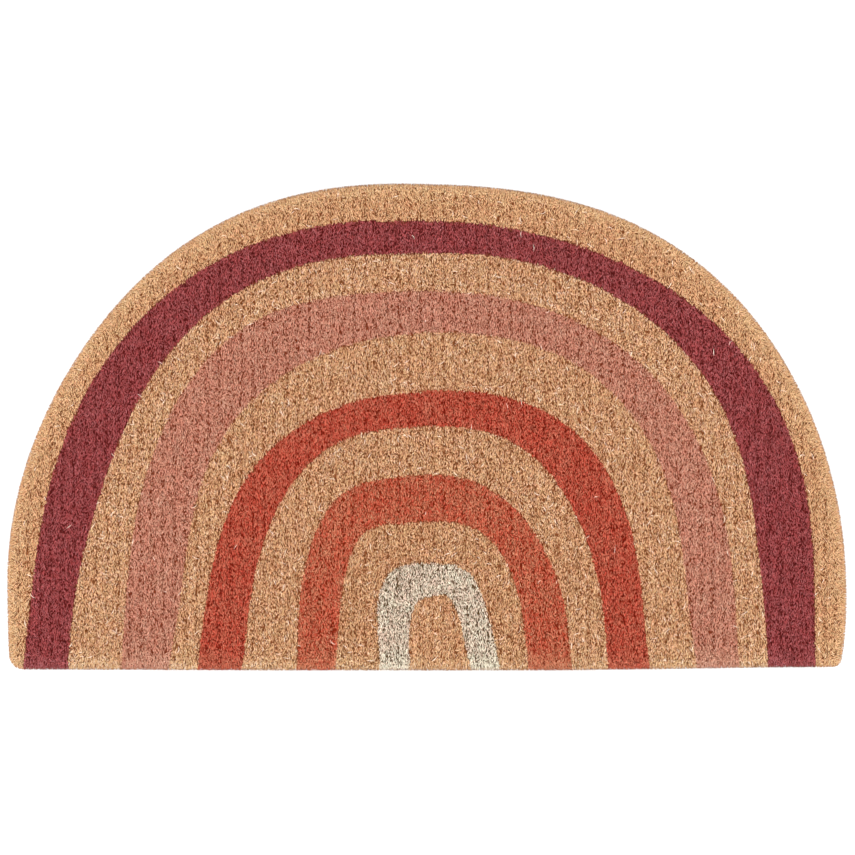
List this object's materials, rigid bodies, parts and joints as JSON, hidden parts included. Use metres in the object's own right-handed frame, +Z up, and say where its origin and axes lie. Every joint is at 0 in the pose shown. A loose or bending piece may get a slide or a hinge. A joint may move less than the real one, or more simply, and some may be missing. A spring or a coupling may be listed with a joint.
{
  "type": "coir doormat",
  "caption": "Half-round coir doormat with a straight front edge, a flat cut pile and a printed pattern of nested arches",
  "frame": {"origin": "on the underside, in the middle of the mat's width and depth", "axes": "+Z up from the floor, +X to the right along the straight front edge, +Y from the front edge to the crown"},
  "size_m": [0.75, 0.435, 0.015],
  "materials": {
    "coir": "undyed coconut fibre, cut pile, matt",
    "maroon_ink": "maroon print on the tips of the pile",
    "rose_ink": "dusty rose print on the tips of the pile",
    "red_ink": "red print on the tips of the pile",
    "terracotta_ink": "terracotta print on the tips of the pile",
    "off_white_ink": "off-white print on the tips of the pile",
    "backing": "dark matt cast backing on the underside"
  },
  "bodies": {
    "root": {"coir_mat": "coir"}
  },
  "joints": []
}
